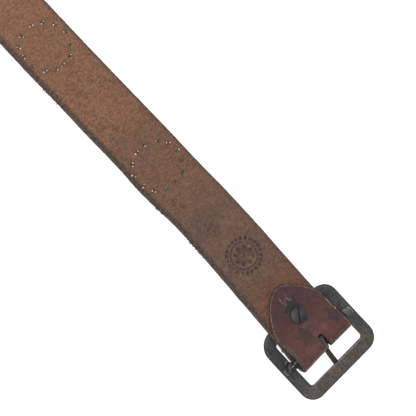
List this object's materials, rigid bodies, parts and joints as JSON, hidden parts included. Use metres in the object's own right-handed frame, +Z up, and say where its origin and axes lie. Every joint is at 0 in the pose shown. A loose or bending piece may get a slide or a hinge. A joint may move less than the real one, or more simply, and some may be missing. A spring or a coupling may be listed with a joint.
{
  "type": "studded leather belt",
  "caption": "Studded leather belt laid out flat, back side up: folded and screwed end on a centre-bar buckle with a swinging prong, and a pointed free end with punched holes.",
  "frame": {"origin": "under the middle of the belt's bounding box, on the surface that it lies on", "axes": "+X along the strap towards the buckle, +Z up out of the strap's back, which faces up; +Y across the strap"},
  "size_m": [1.0886, 0.0626, 0.0155],
  "materials": {
    "leather": "rough suede-like back, smooth red-brown front with dark printed stars, dark burnished edges",
    "gunmetal": "antique gunmetal, brushed and worn, lighter on its edges",
    "studs": "tarnished nickel"
  },
  "bodies": {
    "belt": {"strap": "leather", "strap_fold": "leather", "screw": "gunmetal", "screw_post": "gunmetal", "stud_1_01": "studs", "stud_1_02": "studs", "stud_1_03": "studs", "stud_1_04": "studs", "stud_1_05": "studs", "stud_1_06": "studs", "stud_1_07": "studs", "stud_1_08": "studs", "stud_1_09": "studs", "stud_1_10": "studs", "stud_1_11": "studs", "stud_1_12": "studs", "stud_1_13": "studs", "stud_2_01": "studs", "stud_2_02": "studs", "stud_2_03": "studs", "stud_2_04": "studs", "stud_2_05": "studs", "stud_2_06": "studs", "stud_2_07": "studs", "stud_2_08": "studs", "stud_2_09": "studs", "stud_2_10": "studs", "stud_2_11": "studs", "stud_2_12": "studs", "stud_2_13": "studs", "stud_3_01": "studs", "stud_3_02": "studs", "stud_3_03": "studs", "stud_3_04": "studs", "stud_3_05": "studs", "stud_3_06": "studs", "stud_3_07": "studs", "stud_3_08": "studs", "stud_3_09": "studs", "stud_3_10": "studs", "stud_3_11": "studs", "stud_3_12": "studs", "stud_3_13": "studs"},
    "buckle": {"buckle_frame": "gunmetal", "centre_bar": "gunmetal"},
    "prong": {"prong": "gunmetal"}
  },
  "joints": [
    {"name": "buckle_hinge", "type": "hinge", "parent": "belt", "child": "buckle", "pos_m": [0.5157, 0, 0.0094], "axis": [0, -1, 0], "range_deg": [0, 116]},
    {"name": "prong_hinge", "type": "hinge", "parent": "buckle", "child": "prong", "pos_m": [0.5157, 0.00105, 0.0094], "axis": [0, 1, 0], "range_deg": [0, 120]}
  ]
}
